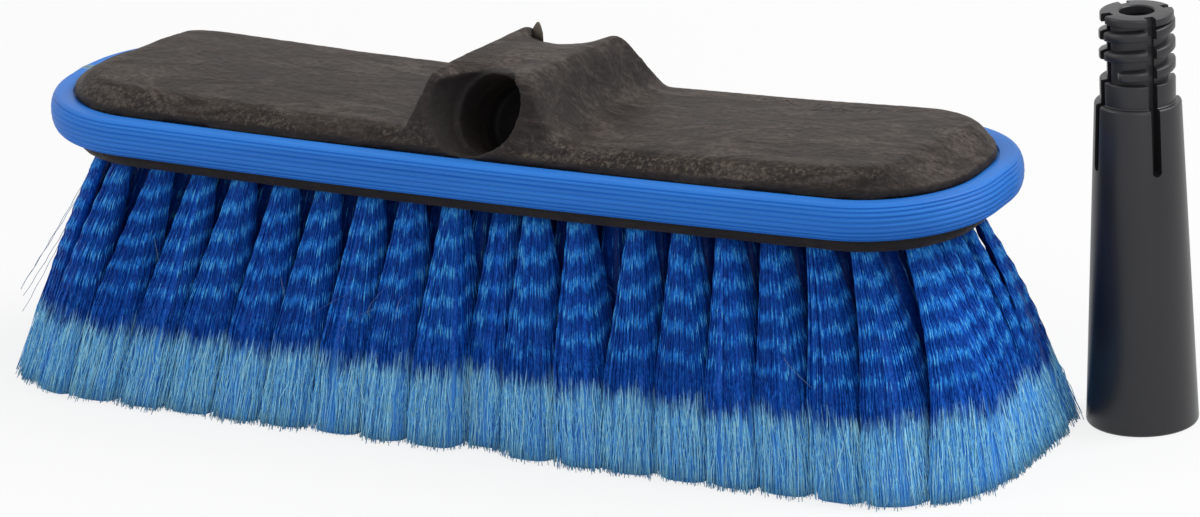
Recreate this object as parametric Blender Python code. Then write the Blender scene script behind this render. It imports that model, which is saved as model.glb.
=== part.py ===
import math

import bmesh
import bpy
from mathutils import Matrix, Vector

# Wash brush head with a rubber bumper and a loose handle adapter, in metres, +Z up.
# The brush stands on its bristle tips and the adapter stands beside it, both on z = 0.

MM = 0.001

# Clearances between pieces
SEAT_GAP = 0.3 * MM
CUT_OVERRUN = 2 * MM

# Edges sharper than these stay sharp when a piece is shaded smooth
SMOOTH_ANGLE = math.radians(35)
BUMPER_SMOOTH_ANGLE = math.radians(40)

# Block: a long rounded bar of foamed plastic
BLOCK_LENGTH = 254 * MM
BLOCK_WIDTH = 62 * MM
BLOCK_CORNER_RADIUS = 27 * MM
BLOCK_END_RISE = 1.4 * MM
SKIRT_HEIGHT = 5.2 * MM
SKIRT_TOP_INSET = 0.2 * MM
SKIRT_BOTTOM_INSET = 3.6 * MM
SKIRT_ROUND_HEIGHT = 1.6 * MM
POCKET_INSET = 5.5 * MM
POCKET_DEPTH = 3.0 * MM
BUMPER_GROOVE_INSET = 3.6 * MM
WALL_FOOT_INSET = 0.3 * MM
WALL_TOP_INSET = 1.3 * MM
WALL_HEIGHT = 1.9 * MM
SHOULDER_WIDTH = 5.6 * MM
SHOULDER_RISE = 3.1 * MM
SHOULDER_FULLNESS = 0.85
DOME_RISE = 0.5 * MM
DISH_RISE = 2.0 * MM
END_SLOPE_LENGTH = 12 * MM
END_SLOPE_DROP = 8.2 * MM
END_SLOPE_POWER = 1.1
END_SLOPE_SKEW = math.radians(11)
SHOULDER_STEP_SHARES = (0, 0.14, 0.32, 0.6, 1)
DOME_STEP_SHARES = (0.12, 0.27, 0.45, 0.68, 0.93)

# Hump in the middle of the block, which holds two blind handle sockets back to back
HUMP_CREST_HEIGHT = 18.7 * MM
HUMP_CREST_HALF_WIDTH = 11.4 * MM
HUMP_FOOT_HALF_WIDTH = 33 * MM
HUMP_FLANK_POWER = 1.7
HUMP_CREST_YAW = math.radians(12)
HUMP_FOOT_YAW = math.radians(-6)
HUMP_FACE_LEAN = math.radians(28)
HUMP_FACE_FOOT_INSET = 0.6 * MM
HUMP_BLEND = 1.4 * MM
HUMP_LIP_SAG = 3.2 * MM
SOCKET_YAW = math.radians(10.5)
SOCKET_ELEVATION = math.radians(25)
SOCKET_RIM_SIDE_STEP = 0.6 * MM
SOCKET_RIM_INSET = 12.4 * MM
SOCKET_RIM_RISE = 8.1 * MM
SOCKET_RIM_RADIUS = 11.1 * MM
SOCKET_BORE_RADIUS = 10.2 * MM
SOCKET_BORE_DEPTH = 15.5 * MM
SOCKET_MOUTH_REACH = 8 * MM
SOCKET_MOUTH_RADIUS = 12.0 * MM
SOCKET_MOUTH_SIDE_STEP = 1.3 * MM
SOCKET_SIDES = 32

# Bumper: a ribbed strip of soft plastic sprung round the block, with its ends butted
BUMPER_HEIGHT = 9.7 * MM
BUMPER_BULGE = 6.0 * MM
BUMPER_LAND = 3.3 * MM
BUMPER_LIP_HEIGHT = 0.9 * MM
BUMPER_LIP_WIDTH = 1.2 * MM
BUMPER_FULLNESS = 0.8
BUMPER_RIB_COUNT = 6
BUMPER_RIB_DEPTH = 0.35 * MM
BUMPER_SEAM_GAP = 0.3 * MM
BUMPER_SEAM_SHARE = 0.35

# Tufts: rows across the block, each strand running from its hole to a wider trimmed end
BRISTLE_LENGTH = 57.8 * MM
TIP_LENGTH = 281 * MM
TIP_WIDTH = 98 * MM
TIP_CORNER_RADIUS = 26 * MM
TUFT_ROWS = 20
TUFTS_PER_ROW = 5
TUFT_ROOT_RADIUS = 2.7 * MM
TUFT_ROOT_MARGIN = 1.4 * MM
STRAND_GAP = 0.5 * MM
STRAND_CORNER_SHARE = 0.8
TIP_CORNER_SHARE = 0.96
TIP_RAGGED_RISE = 1.6 * MM
TIP_TRIM_DEPTH = 0.5 * MM
RAGGED_TURN = math.radians(137.5)

# Adapter: a tapered handle socket with a split threaded spigot
ADAPTER_BASE_RADIUS = 14.2 * MM
ADAPTER_BASE_ROUND = 0.8 * MM
ADAPTER_SHOULDER_RADIUS = 10.9 * MM
ADAPTER_SHOULDER_HEIGHT = 84.5 * MM
ADAPTER_SHOULDER_ROUND = 0.5 * MM
COLLAR_RADIUS = 9.45 * MM
COLLAR_HEIGHT = 6.0 * MM
SPIGOT_HEIGHT = 17.1 * MM
THREAD_RADIUS = 9.5 * MM
THREAD_CORE_RADIUS = 7.6 * MM
THREAD_PITCH = 5.08 * MM
THREAD_ROOT_THICKNESS = 3.2 * MM
THREAD_CREST_THICKNESS = 2.0 * MM
THREAD_SINK = 0.4 * MM
THREAD_START_ANGLE = math.radians(-110)
THREAD_START_RISE = 1.85 * MM
THREAD_END_GAP = 2.042 * MM
TOP_PLATE_RADIUS = 9.2 * MM
TOP_PLATE_THICKNESS = 2.1 * MM
TOP_PLATE_ROUND = 0.5 * MM
TOP_HOLE_RADIUS = 4.4 * MM
HANDLE_SOCKET_RADIUS = 11.8 * MM
HANDLE_SOCKET_END_RADIUS = 9.2 * MM
HANDLE_SOCKET_ROOF = 1.5 * MM
SPIGOT_BORE_RADIUS = 5.4 * MM
SLOT_COUNT = 4
SLOT_WIDTH = 2.5 * MM
SLOT_FLOOR_RADIUS = 6.7 * MM
SLOT_REACH_BELOW_SHOULDER = 17 * MM
SLOT_ANGLE = math.radians(-44.5)
ADAPTER_SIDES = 44
ADAPTER_SET_IN_X = 1.0 * MM
ADAPTER_SET_IN_Y = 0.2 * MM

# Levels and places worked out from the sizes above
UNDERSIDE_Z = BRISTLE_LENGTH
BUMPER_BOTTOM_Z = UNDERSIDE_Z + SKIRT_HEIGHT
BUMPER_TOP_Z = BUMPER_BOTTOM_Z + BUMPER_HEIGHT
BUMPER_SEAT_Z = BUMPER_TOP_Z - BUMPER_LIP_HEIGHT
HALF_LENGTH = BLOCK_LENGTH / 2
HALF_WIDTH = BLOCK_WIDTH / 2
STRAIGHT_HALF_X = HALF_LENGTH - BLOCK_CORNER_RADIUS
STRAIGHT_HALF_Y = HALF_WIDTH - BLOCK_CORNER_RADIUS
ADAPTER_HEIGHT = ADAPTER_SHOULDER_HEIGHT + COLLAR_HEIGHT + SPIGOT_HEIGHT
THREAD_TURNS = (SPIGOT_HEIGHT - THREAD_START_RISE - THREAD_END_GAP) / THREAD_PITCH
SLOT_END_HEIGHT = ADAPTER_SHOULDER_HEIGHT - SLOT_REACH_BELOW_SHOULDER
HANDLE_SOCKET_DEPTH = SLOT_END_HEIGHT - HANDLE_SOCKET_ROOF
ADAPTER_X_FROM_BRUSH = TIP_LENGTH / 2 + ADAPTER_BASE_RADIUS - ADAPTER_SET_IN_X
ADAPTER_Y = TIP_WIDTH / 2 - ADAPTER_BASE_RADIUS - ADAPTER_SET_IN_Y
SET_LEFT = -TIP_LENGTH / 2
SET_RIGHT = ADAPTER_X_FROM_BRUSH + ADAPTER_BASE_RADIUS
BRUSH_X = -(SET_LEFT + SET_RIGHT) / 2
ADAPTER_X = BRUSH_X + ADAPTER_X_FROM_BRUSH

# How finely round shapes and long edges are divided
CORNER_STEPS = 8
HUMP_STEPS = 22
PLAIN_SIDE_STEPS = 4
BUMPER_CORNER_STEPS = 9
BUMPER_SIDE_STEPS = 10
SLICE_CURVE_STEPS = 4


def make_material(name, color, roughness):
    material = bpy.data.materials.new(name)
    material.use_nodes = True
    shader = material.node_tree.nodes["Principled BSDF"]
    shader.inputs["Base Color"].default_value = (*color, 1)
    shader.inputs["Roughness"].default_value = roughness
    shader.inputs["Metallic"].default_value = 0
    return material


def add_object(name, bm, material, smooth_angle=None):
    bmesh.ops.recalc_face_normals(bm, faces=bm.faces)
    mesh = bpy.data.meshes.new(name)
    bm.to_mesh(mesh)
    bm.free()
    mesh.materials.append(material)
    if smooth_angle is not None:
        mesh.shade_smooth()
        mesh.set_sharp_from_angle(angle=smooth_angle)
    obj = bpy.data.objects.new(name, mesh)
    bpy.context.scene.collection.objects.link(obj)
    return obj


def add_boolean(target, cutter, operation):
    modifier = target.modifiers.new(cutter.name, "BOOLEAN")
    modifier.operation = operation
    modifier.object = cutter
    modifier.solver = "EXACT"
    cutter.hide_render = True
    cutter.display_type = "WIRE"


def bridge_loops(bm, loops):
    # Quads between neighbouring closed loops of the same number of points
    for lower, upper in zip(loops, loops[1:]):
        count = len(lower)
        for i in range(count):
            j = (i + 1) % count
            bm.faces.new((lower[i], lower[j], upper[j], upper[i]))


def turned_solid(bm, profile, sides):
    # Closed solid of revolution about Z; the profile is a closed list of (radius, z)
    rings = []
    for radius, z in profile:
        if radius == 0:
            rings.append([bm.verts.new((0, 0, z))])
            continue
        ring = []
        for i in range(sides):
            angle = math.tau * i / sides
            ring.append(bm.verts.new((radius * math.cos(angle), radius * math.sin(angle), z)))
        rings.append(ring)
    for a, b in zip(rings, rings[1:] + rings[:1]):
        for i in range(sides):
            j = (i + 1) % sides
            if len(a) == 1 and len(b) == 1:
                break
            if len(a) == 1:
                bm.faces.new((a[0], b[j], b[i]))
            elif len(b) == 1:
                bm.faces.new((a[i], a[j], b[0]))
            else:
                bm.faces.new((a[i], a[j], b[j], b[i]))


def end_rise(x):
    # The moulded block is bowed: its ends stand a little higher than its middle
    return BLOCK_END_RISE * (x / HALF_LENGTH) ** 2


def outline(corner_steps, side_xs):
    # Points and outward normals round the block's plan, as ((x, y), (nx, ny))
    points = [((x, -HALF_WIDTH), (0, -1)) for x in side_xs]
    corners = (
        (STRAIGHT_HALF_X, -STRAIGHT_HALF_Y, -math.pi / 2),
        (STRAIGHT_HALF_X, STRAIGHT_HALF_Y, 0),
        (-STRAIGHT_HALF_X, STRAIGHT_HALF_Y, math.pi / 2),
        (-STRAIGHT_HALF_X, -STRAIGHT_HALF_Y, math.pi),
    )
    for number, (cx, cy, start) in enumerate(corners):
        for step in range(corner_steps + 1):
            angle = start + math.pi / 2 * step / corner_steps
            nx, ny = math.cos(angle), math.sin(angle)
            points.append(((cx + BLOCK_CORNER_RADIUS * nx, cy + BLOCK_CORNER_RADIUS * ny), (nx, ny)))
        if number == 1:
            points += [((x, HALF_WIDTH), (0, 1)) for x in reversed(side_xs)]
    return points


def inset_point(point, normal, inset):
    (x, y), (nx, ny) = point, normal
    return x - nx * inset, y - ny * inset


def half_width_at(x, half_length, half_width, radius):
    # Half the width of a rounded rectangle at a distance x from its middle
    over = max(abs(x) - (half_length - radius), 0)
    over = min(over, radius)
    return half_width - radius + math.sqrt(radius * radius - over * over)


def smooth_min(a, b, width):
    # The lower of two heights, rounded where they cross; the rounding takes a quarter of its width
    gap = max(width - abs(a - b), 0) / width
    return min(a, b) - gap * gap * width / 4


def hump_share(x, y):
    # 1 on the hump's crest and 0 past its feet; both run askew from face to face
    middle = y * math.tan(HUMP_CREST_YAW)
    side = 1 if x > middle else -1
    crest = middle + side * HUMP_CREST_HALF_WIDTH
    foot = y * math.tan(HUMP_FOOT_YAW) + side * HUMP_FOOT_HALF_WIDTH
    run = min(max((x - crest) / (foot - crest), 0), 1)
    return ((1 + math.cos(math.pi * run)) / 2) ** HUMP_FLANK_POWER


def lip_sag_share(x, y):
    # The thin lip over each socket has sagged in its middle
    away = (x - y * math.tan(HUMP_CREST_YAW)) / HUMP_CREST_HALF_WIDTH
    return (y / HALF_WIDTH) ** 2 * max(1 - away * away, 0) * HALF_WIDTH / SOCKET_RIM_RADIUS


def end_slope(x, y):
    # How far the top falls away towards the ends, along a line that runs a little askew
    skew = math.copysign(y * math.tan(END_SLOPE_SKEW), x * y)
    over = max(abs(x) - skew - (HALF_LENGTH - END_SLOPE_LENGTH), 0) / END_SLOPE_LENGTH
    return END_SLOPE_DROP * over ** END_SLOPE_POWER


def block_top(x, y, inset):
    # Height of the moulding over the bumper's top: wall, shoulder, dome and hump
    if inset <= WALL_TOP_INSET + SHOULDER_WIDTH:
        share = (inset - WALL_TOP_INSET) / SHOULDER_WIDTH
        rise = SHOULDER_RISE * math.sin(math.pi / 2 * share) ** SHOULDER_FULLNESS
    else:
        share = (inset - WALL_TOP_INSET - SHOULDER_WIDTH) / (HALF_WIDTH - WALL_TOP_INSET - SHOULDER_WIDTH)
        rise = SHOULDER_RISE + DOME_RISE * math.sin(math.pi / 2 * share)
    dish = DISH_RISE * (x / HALF_LENGTH) ** 2 * rise / SHOULDER_RISE
    plain = WALL_HEIGHT + rise + dish - end_slope(x, y) * rise / (SHOULDER_RISE + DOME_RISE)
    crest = HUMP_CREST_HEIGHT - HUMP_LIP_SAG * lip_sag_share(x, y)
    hump = (crest - plain) * hump_share(x, y)
    if hump > 0:
        face = (HALF_WIDTH - HUMP_FACE_FOOT_INSET - abs(y)) / math.tan(HUMP_FACE_LEAN)
        hump = smooth_min(hump, max(face - plain, 0), min(HUMP_BLEND, hump))
    return BUMPER_TOP_Z + plain + hump


def socket_matrix(side):
    # Frame of a socket: +Z out of its mouth, origin in the middle of the rim inside it
    turn = Matrix.Rotation(0 if side < 0 else math.pi, 4, "Z")
    rim = Vector((SOCKET_RIM_SIDE_STEP, SOCKET_RIM_INSET - HALF_WIDTH, BUMPER_TOP_Z + SOCKET_RIM_RISE))
    lean = Matrix.Rotation(math.pi / 2 - SOCKET_ELEVATION, 4, "X")
    yaw = Matrix.Rotation(-SOCKET_YAW, 4, "Z")
    return Matrix.Translation((BRUSH_X, 0, 0)) @ turn @ Matrix.Translation(rim) @ yaw @ lean


def make_socket_cutter(name, side):
    # A plain bore, and in front of its rim a mouth that widens and leans to one side
    outside = SOCKET_MOUTH_REACH + SOCKET_MOUTH_RADIUS
    flare = (SOCKET_MOUTH_RADIUS - SOCKET_RIM_RADIUS) / SOCKET_MOUTH_REACH
    profile = (
        (0, -SOCKET_BORE_DEPTH),
        (SOCKET_BORE_RADIUS, -SOCKET_BORE_DEPTH),
        (SOCKET_BORE_RADIUS, 0),
        (SOCKET_RIM_RADIUS, 0),
        (SOCKET_RIM_RADIUS + flare * outside, outside),
        (0, outside),
    )
    bm = bmesh.new()
    turned_solid(bm, profile, SOCKET_SIDES)
    side_step = SOCKET_MOUTH_SIDE_STEP / SOCKET_MOUTH_REACH
    for vert in bm.verts:
        vert.co.x -= side_step * max(vert.co.z, 0)
    bm.transform(socket_matrix(side))
    return add_object(name, bm, BLOCK_MATERIAL)


def make_block():
    dense = [HUMP_FOOT_HALF_WIDTH * (2 * i / HUMP_STEPS - 1) for i in range(HUMP_STEPS + 1)]
    rest = (STRAIGHT_HALF_X - HUMP_FOOT_HALF_WIDTH) / PLAIN_SIDE_STEPS
    plain = [HUMP_FOOT_HALF_WIDTH + rest * i for i in range(1, PLAIN_SIDE_STEPS)]
    side_xs = [-x for x in reversed(plain)] + dense + plain
    plan = outline(CORNER_STEPS, side_xs)

    rings = [
        (POCKET_INSET, UNDERSIDE_Z + POCKET_DEPTH),
        (POCKET_INSET, UNDERSIDE_Z),
        (SKIRT_BOTTOM_INSET, UNDERSIDE_Z),
        (SKIRT_TOP_INSET, UNDERSIDE_Z + SKIRT_ROUND_HEIGHT),
        (SKIRT_TOP_INSET, BUMPER_BOTTOM_Z - SEAT_GAP),
        (BUMPER_GROOVE_INSET, BUMPER_BOTTOM_Z - SEAT_GAP),
        (BUMPER_GROOVE_INSET, BUMPER_SEAT_Z + SEAT_GAP),
        (WALL_FOOT_INSET, BUMPER_SEAT_Z + SEAT_GAP),
    ]
    shoulder = [WALL_TOP_INSET + SHOULDER_WIDTH * share for share in SHOULDER_STEP_SHARES]
    dome_start = WALL_TOP_INSET + SHOULDER_WIDTH
    dome = [dome_start + (BLOCK_CORNER_RADIUS - dome_start) * share for share in DOME_STEP_SHARES]
    rings += [(inset, None) for inset in shoulder + dome]

    bm = bmesh.new()
    loops = []
    for inset, level in rings:
        loop = []
        for point, normal in plan:
            x, y = inset_point(point, normal, inset)
            z = block_top(x, y, inset) if level is None else level
            loop.append(bm.verts.new((BRUSH_X + x, y, z + end_rise(x))))
        loops.append(loop)
    bridge_loops(bm, loops)
    close_across(bm, loops[0], len(side_xs))
    close_across(bm, loops[-1], len(side_xs))
    block = add_object("brush_block", bm, BLOCK_MATERIAL, SMOOTH_ANGLE)
    add_boolean(block, make_socket_cutter("front_socket_cutter", -1), "DIFFERENCE")
    add_boolean(block, make_socket_cutter("rear_socket_cutter", 1), "DIFFERENCE")
    return block


def close_across(bm, loop, side_count):
    # Fill a loop that mirrors front to back with strips that run across the block
    count = len(loop)
    first = count - CORNER_STEPS - 1
    half = count // 2
    mirror = 2 * side_count + 2 * CORNER_STEPS + 1
    pairs = []
    for step in range(half):
        i = (first + step) % count
        pairs.append((loop[i], loop[(mirror - i) % count]))
    for (a, b), (c, d) in zip(pairs, pairs[1:]):
        bm.faces.new((a, c, d, b))


def bumper_section():
    # Closed section of the strip as (outward offset, z) with a ribbed bulging face
    inner = -BUMPER_GROOVE_INSET + SEAT_GAP
    seat = BUMPER_HEIGHT - BUMPER_LIP_HEIGHT
    section = [(inner, 0), (inner, seat), (0, seat), (BUMPER_LIP_WIDTH, BUMPER_HEIGHT)]
    land = BUMPER_LAND
    count = 2 * BUMPER_RIB_COUNT + 1
    for i in range(count + 2):
        angle = math.pi / 2 - math.pi * i / (count + 1)
        groove = BUMPER_RIB_DEPTH if i % 2 == 0 and 0 < i < count + 1 else 0
        out = (BUMPER_BULGE - land) * math.cos(angle) ** BUMPER_FULLNESS if 0 < i < count + 1 else 0
        section.append((land + out - groove, BUMPER_HEIGHT / 2 * (1 + math.sin(angle))))
    return section


def make_bumper():
    rest = 2 * STRAIGHT_HALF_X / BUMPER_SIDE_STEPS
    side_xs = [-STRAIGHT_HALF_X + rest * i for i in range(1, BUMPER_SIDE_STEPS)]
    plan = outline(BUMPER_CORNER_STEPS, side_xs)
    # The loop starts and ends at the seam, on the straight of the left end
    seam = [((-HALF_LENGTH, STRAIGHT_HALF_Y * BUMPER_SEAM_SHARE), (-1, 0))]
    after = len(plan) - BUMPER_CORNER_STEPS - 1
    ordered = seam + plan[after:] + plan[:after] + seam
    bm = bmesh.new()
    section = bumper_section()
    loops = []
    for number, ((x, y), (nx, ny)) in enumerate(ordered):
        along = Vector((-ny, nx))
        shift = 0
        if number == 0:
            shift = BUMPER_SEAM_GAP / 2
        if number == len(ordered) - 1:
            shift = -BUMPER_SEAM_GAP / 2
        loop = []
        for offset, z in section:
            px = x + nx * offset + along.x * shift
            py = y + ny * offset + along.y * shift
            loop.append(bm.verts.new((BRUSH_X + px, py, BUMPER_BOTTOM_Z + z + end_rise(px))))
        loops.append(loop)
    bridge_loops(bm, loops)
    bm.faces.new(loops[0])
    bm.faces.new(loops[-1])
    return add_object("bumper_strip", bm, BUMPER_MATERIAL, BUMPER_SMOOTH_ANGLE)


def pocket_half_width(x):
    return half_width_at(
        x, HALF_LENGTH - POCKET_INSET, HALF_WIDTH - POCKET_INSET, BLOCK_CORNER_RADIUS - POCKET_INSET
    )


def tip_half_width(x):
    return half_width_at(x, TIP_LENGTH / 2, TIP_WIDTH / 2, TIP_CORNER_RADIUS)


def make_tuft_row(number):
    # One crosswise row: a slice of backing with its tufts, four strands to a tuft
    pocket_length = 2 * (HALF_LENGTH - POCKET_INSET - SEAT_GAP)
    pitch = pocket_length / TUFT_ROWS
    middle = pitch * (number - (TUFT_ROWS - 1) / 2)
    tip_pitch = TIP_LENGTH / TUFT_ROWS
    tip_middle = tip_pitch * (number - (TUFT_ROWS - 1) / 2)
    left = middle - (pitch - SEAT_GAP) / 2
    right = middle + (pitch - SEAT_GAP) / 2
    bottom = UNDERSIDE_Z + end_rise(middle)
    top = bottom + POCKET_DEPTH - SEAT_GAP
    curved = max(abs(left), abs(right)) > STRAIGHT_HALF_X
    steps = SLICE_CURVE_STEPS if curved else 1

    bm = bmesh.new()
    xs = [left + (right - left) * i / steps for i in range(steps + 1)]
    rim = [(x, -pocket_half_width(x) + SEAT_GAP) for x in xs]
    rim += [(x, pocket_half_width(x) - SEAT_GAP) for x in reversed(xs)]
    low = [bm.verts.new((BRUSH_X + x, y, bottom)) for x, y in rim]
    high = [bm.verts.new((BRUSH_X + x, y, top)) for x, y in rim]
    bridge_loops(bm, [low, high])
    bm.faces.new(high)
    rim_edges = [bm.edges.get((low[i], low[(i + 1) % len(low)])) for i in range(len(low))]

    half = STRAND_GAP / 2
    root = TUFT_ROOT_RADIUS
    root_reach = pocket_half_width(0) - TUFT_ROOT_MARGIN
    row_reach = root_reach - root
    tip_x_reach = tip_pitch / 2
    tip_y_reach = TIP_WIDTH / 2 / TUFTS_PER_ROW
    strand = 0
    for tuft in range(TUFTS_PER_ROW):
        share = 2 * tuft / (TUFTS_PER_ROW - 1) - 1
        root_y = row_reach * share
        tip_y = tip_y_reach * (2 * tuft - (TUFTS_PER_ROW - 1))
        for side_x, side_y in ((-1, -1), (1, -1), (1, 1), (-1, 1)):
            edge_x = tip_x_reach if on_rim_x(number, side_x) else tip_x_reach - half
            edge_y = tip_y_reach if on_rim_y(tuft, side_y) else tip_y_reach - half
            root_corner = root * STRAND_CORNER_SHARE
            root_shape = ((half, half), (root, half), (root_corner, root_corner), (half, root))
            tip_shape = (
                (half, half),
                (edge_x, half),
                (edge_x * TIP_CORNER_SHARE, edge_y * TIP_CORNER_SHARE),
                (half, edge_y),
            )
            tip_z = strand_tip_z(number, strand)
            strand += 1
            roots = []
            tips = []
            for (rx, ry), (tx, ty) in zip(root_shape, tip_shape):
                x = middle + side_x * rx
                narrowing = (pocket_half_width(x) - TUFT_ROOT_MARGIN) / root_reach
                roots.append(bm.verts.new((BRUSH_X + x, (root_y + side_y * ry) * narrowing, bottom)))
                x = tip_middle + side_x * tx
                narrowing = tip_half_width(x) / (TIP_WIDTH / 2)
                tips.append(bm.verts.new((BRUSH_X + x, (tip_y + side_y * ty) * narrowing, tip_z)))
            bridge_loops(bm, [roots, tips])
            bm.faces.new(tips)
            rim_edges += [bm.edges.get((roots[i], roots[(i + 1) % len(roots)])) for i in range(len(roots))]
    bmesh.ops.triangle_fill(bm, use_beauty=True, use_dissolve=False, edges=rim_edges, normal=(0, 0, -1))
    row = add_object("tuft_row_%02d" % (number + 1), bm, BACKING_MATERIAL)
    color_row(row.data, bottom)
    return row


def on_rim_x(number, side_x):
    return (number == 0 and side_x < 0) or (number == TUFT_ROWS - 1 and side_x > 0)


def on_rim_y(tuft, side_y):
    return (tuft == 0 and side_y < 0) or (tuft == TUFTS_PER_ROW - 1 and side_y > 0)


def strand_tip_z(number, strand):
    # Ends are ragged upwards, and those that would reach the floor are trimmed flat
    wave = math.sin((number * TUFTS_PER_ROW * 4 + strand) * RAGGED_TURN)
    return max(TIP_RAGGED_RISE * (wave + 1) / 2 - TIP_TRIM_DEPTH, 0)


def color_row(mesh, bottom):
    # Backing above its lower face, strands below it
    mesh.materials.append(BRISTLE_MATERIAL)
    for polygon in mesh.polygons:
        if min(mesh.vertices[i].co.z for i in polygon.vertices) < bottom - STRAND_GAP:
            polygon.material_index = 1


def thread_ridge(bm):
    # One helical ridge, sunk a little into the core so that the union has no coincident faces
    steps = int(ADAPTER_SIDES * THREAD_TURNS)
    inner = THREAD_CORE_RADIUS - THREAD_SINK
    start_z = ADAPTER_SHOULDER_HEIGHT + COLLAR_HEIGHT + THREAD_START_RISE
    section = (
        (inner, -THREAD_ROOT_THICKNESS / 2),
        (THREAD_RADIUS, -THREAD_CREST_THICKNESS / 2),
        (THREAD_RADIUS, THREAD_CREST_THICKNESS / 2),
        (inner, THREAD_ROOT_THICKNESS / 2),
    )
    loops = []
    for step in range(steps + 1):
        turn = step / ADAPTER_SIDES
        angle = THREAD_START_ANGLE + math.tau * turn
        loop = []
        for radius, rise in section:
            z = start_z + THREAD_PITCH * turn + rise
            loop.append(bm.verts.new((radius * math.cos(angle), radius * math.sin(angle), z)))
        loops.append(loop)
    bridge_loops(bm, loops)
    bm.faces.new(loops[0])
    bm.faces.new(loops[-1])


def adapter_body(bm):
    collar_top = ADAPTER_SHOULDER_HEIGHT + COLLAR_HEIGHT
    shoulder = ADAPTER_SHOULDER_RADIUS
    plate = TOP_PLATE_RADIUS
    profile = (
        (HANDLE_SOCKET_RADIUS, 0),
        (ADAPTER_BASE_RADIUS - ADAPTER_BASE_ROUND, 0),
        (ADAPTER_BASE_RADIUS, ADAPTER_BASE_ROUND),
        (shoulder, ADAPTER_SHOULDER_HEIGHT - ADAPTER_SHOULDER_ROUND),
        (shoulder - ADAPTER_SHOULDER_ROUND, ADAPTER_SHOULDER_HEIGHT),
        (COLLAR_RADIUS, ADAPTER_SHOULDER_HEIGHT),
        (COLLAR_RADIUS, collar_top),
        (THREAD_CORE_RADIUS, collar_top),
        (THREAD_CORE_RADIUS, ADAPTER_HEIGHT - TOP_PLATE_THICKNESS),
        (plate, ADAPTER_HEIGHT - TOP_PLATE_THICKNESS),
        (plate, ADAPTER_HEIGHT - TOP_PLATE_ROUND),
        (plate - TOP_PLATE_ROUND, ADAPTER_HEIGHT),
        (TOP_HOLE_RADIUS, ADAPTER_HEIGHT),
        (TOP_HOLE_RADIUS, ADAPTER_HEIGHT - TOP_PLATE_THICKNESS),
        (SPIGOT_BORE_RADIUS, ADAPTER_HEIGHT - TOP_PLATE_THICKNESS),
        (SPIGOT_BORE_RADIUS, HANDLE_SOCKET_DEPTH),
        (HANDLE_SOCKET_END_RADIUS, HANDLE_SOCKET_DEPTH),
    )
    turned_solid(bm, profile, ADAPTER_SIDES)


def slot_cutter(bm, turn):
    # A slot with a round lower end, open at the top, whose floor stays in the spigot's wall
    half = SLOT_WIDTH / 2
    low = SLOT_END_HEIGHT + half
    steps = CORNER_STEPS
    shape = [(half, ADAPTER_HEIGHT + CUT_OVERRUN), (-half, ADAPTER_HEIGHT + CUT_OVERRUN)]
    for i in range(steps + 1):
        angle = math.pi + math.pi * i / steps
        shape.append((half * math.cos(angle), low + half * math.sin(angle)))
    rotate = Matrix.Rotation(turn, 4, "Z")
    near = [bm.verts.new(rotate @ Vector((SLOT_FLOOR_RADIUS, y, z))) for y, z in shape]
    far_radius = ADAPTER_BASE_RADIUS + CUT_OVERRUN
    far = [bm.verts.new(rotate @ Vector((far_radius, y, z))) for y, z in shape]
    bridge_loops(bm, [near, far])
    bm.faces.new(near)
    bm.faces.new(far)


def make_adapter():
    base = bpy.data.objects.new("adapter_base", None)
    base.location = (ADAPTER_X, ADAPTER_Y, 0)
    bpy.context.scene.collection.objects.link(base)

    bm = bmesh.new()
    adapter_body(bm)
    adapter = add_object("handle_adapter", bm, ADAPTER_MATERIAL, SMOOTH_ANGLE)
    adapter.parent = base
    bm = bmesh.new()
    thread_ridge(bm)
    ridge = add_object("adapter_thread_tool", bm, ADAPTER_MATERIAL)
    ridge.parent = base
    add_boolean(adapter, ridge, "UNION")
    for i in range(SLOT_COUNT):
        bm = bmesh.new()
        slot_cutter(bm, SLOT_ANGLE + math.tau * i / SLOT_COUNT)
        cutter = add_object("adapter_slot_cutter_%d" % (i + 1), bm, ADAPTER_MATERIAL)
        cutter.parent = base
        add_boolean(adapter, cutter, "DIFFERENCE")
    return adapter


for old in list(bpy.data.objects):
    bpy.data.objects.remove(old, do_unlink=True)

BLOCK_MATERIAL = make_material("block_foam", (0.055, 0.048, 0.044), 0.62)
BUMPER_MATERIAL = make_material("bumper_blue", (0.045, 0.2, 0.6), 0.42)
BACKING_MATERIAL = make_material("backing_black", (0.02, 0.018, 0.018), 0.7)
BRISTLE_MATERIAL = make_material("bristle_blue", (0.02, 0.16, 0.55), 0.45)
ADAPTER_MATERIAL = make_material("adapter_black", (0.04, 0.041, 0.045), 0.4)

make_block()
make_bumper()
for row_number in range(TUFT_ROWS):
    make_tuft_row(row_number)
make_adapter()
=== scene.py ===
from math import atan2, copysign, cos, exp, pi, radians, sin, tan, tau

import bmesh
import bpy
import numpy as np
from mathutils import Matrix, Vector, noise


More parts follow.
